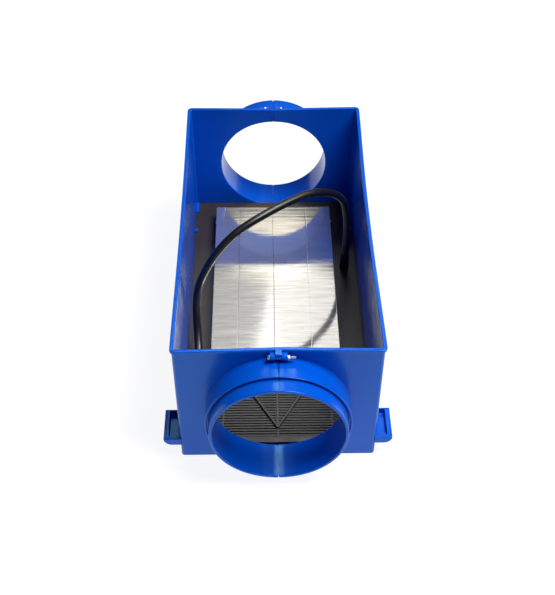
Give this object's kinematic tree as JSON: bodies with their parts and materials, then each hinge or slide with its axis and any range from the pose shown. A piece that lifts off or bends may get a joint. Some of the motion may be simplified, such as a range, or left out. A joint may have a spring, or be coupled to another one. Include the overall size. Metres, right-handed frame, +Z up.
{
  "type": "ducted grow lamp",
  "caption": "Ducted grow lamp: open-topped two-half blue plenum with stepped duct spigots, clamp screws and side pockets over a black LED tray with a shrouded heat sink and a short lead.",
  "frame": {"origin": "bottom centre of the housing, on the surface it stands on", "axes": "+Z up, +Y from the front spigot to the rear spigot, +X to the right seen from the front"},
  "size_m": [0.2588, 0.509, 0.1836],
  "materials": {
    "blue_plastic": "satin injection moulding",
    "zinc_steel": "bright zinc plate",
    "black_coated_metal": "satin black coating",
    "black_moulding": "satin moulded",
    "plain_aluminium": "mill finish extrusion",
    "bright_aluminium": "bright rolled sheet",
    "white_board": "white solder mask",
    "led_phosphor": "phosphor",
    "clear_glass": "clear tempered",
    "black_rubber": "satin rubber",
    "green_board": "solder mask",
    "dark_parts": "moulded component bodies",
    "white_nylon": "natural nylon",
    "lead_cores": "insulated cores",
    "lead_sheath": "semi-gloss rubber sheath",
    "grey_insert": "moulded insulator",
    "contact_brass": "plain brass"
  },
  "bodies": {
    "housing": {"left_side_wall": "blue_plastic", "left_front_wall": "blue_plastic", "left_rear_wall": "blue_plastic", "left_front_spigot": "blue_plastic", "left_rear_spigot": "blue_plastic", "left_base_flange": "blue_plastic", "left_front_pocket": "blue_plastic", "left_rear_pocket": "blue_plastic", "left_clamp_lugs": "blue_plastic", "right_side_wall": "blue_plastic", "right_front_wall": "blue_plastic", "right_rear_wall": "blue_plastic", "right_front_spigot": "blue_plastic", "right_rear_spigot": "blue_plastic", "right_base_flange": "blue_plastic", "right_front_pocket": "blue_plastic", "right_rear_pocket": "blue_plastic", "right_clamp_lugs": "blue_plastic", "lamp_tray": "black_coated_metal", "tray_screws": "zinc_steel", "louvre_grille": "black_moulding", "heat_sink": "plain_aluminium", "heat_sink_screws": "zinc_steel", "shroud_panels": "bright_aluminium", "shroud_screws": "zinc_steel", "led_boards": "white_board", "led_chips": "led_phosphor", "led_board_screws": "zinc_steel", "window_glass": "clear_glass", "window_gasket": "black_rubber", "window_bezel": "black_coated_metal", "bezel_screws": "zinc_steel", "driver_board": "green_board", "driver_parts": "dark_parts", "driver_spacers": "white_nylon", "terminal_block": "white_nylon", "supply_leads": "lead_cores", "cable_bushing": "black_rubber", "mains_lead": "lead_sheath", "connector_tail": "black_rubber", "connector_body": "black_moulding", "connector_insert": "grey_insert", "connector_pins": "contact_brass"},
    "front_screw": {"front_clamp_screw": "zinc_steel"},
    "front_nut": {"front_clamp_nut": "zinc_steel"},
    "rear_screw": {"rear_clamp_screw": "zinc_steel"},
    "rear_nut": {"rear_clamp_nut": "zinc_steel"},
    "coupling_ring": {"connector_ring": "black_moulding"}
  },
  "joints": [
    {"name": "front_screw_turn", "type": "hinge", "parent": "housing", "child": "front_screw", "pos_m": [0, -0.218, 0.1726], "axis": [-1, 0, 0], "range_deg": [0, 2520]},
    {"name": "front_nut_travel", "type": "slide", "parent": "housing", "child": "front_nut", "axis": [1, 0, 0], "range_m": [0, 0.00351]},
    {"name": "rear_screw_turn", "type": "hinge", "parent": "housing", "child": "rear_screw", "pos_m": [0, 0.218, 0.1726], "axis": [1, 0, 0], "range_deg": [0, 2520]},
    {"name": "rear_nut_travel", "type": "slide", "parent": "housing", "child": "rear_nut", "axis": [-1, 0, 0], "range_m": [0, 0.00351]},
    {"name": "coupling_ring_turn", "type": "hinge", "parent": "housing", "child": "coupling_ring", "pos_m": [-0.093, -0.178, 0.03], "axis": [0, -1, 0], "continuous": true}
  ],
  "couplings": [
    {"joint": "front_nut_travel", "follows": "front_screw_turn", "m_per_rad": 0.000079577},
    {"joint": "rear_nut_travel", "follows": "rear_screw_turn", "m_per_rad": 0.000079577}
  ]
}
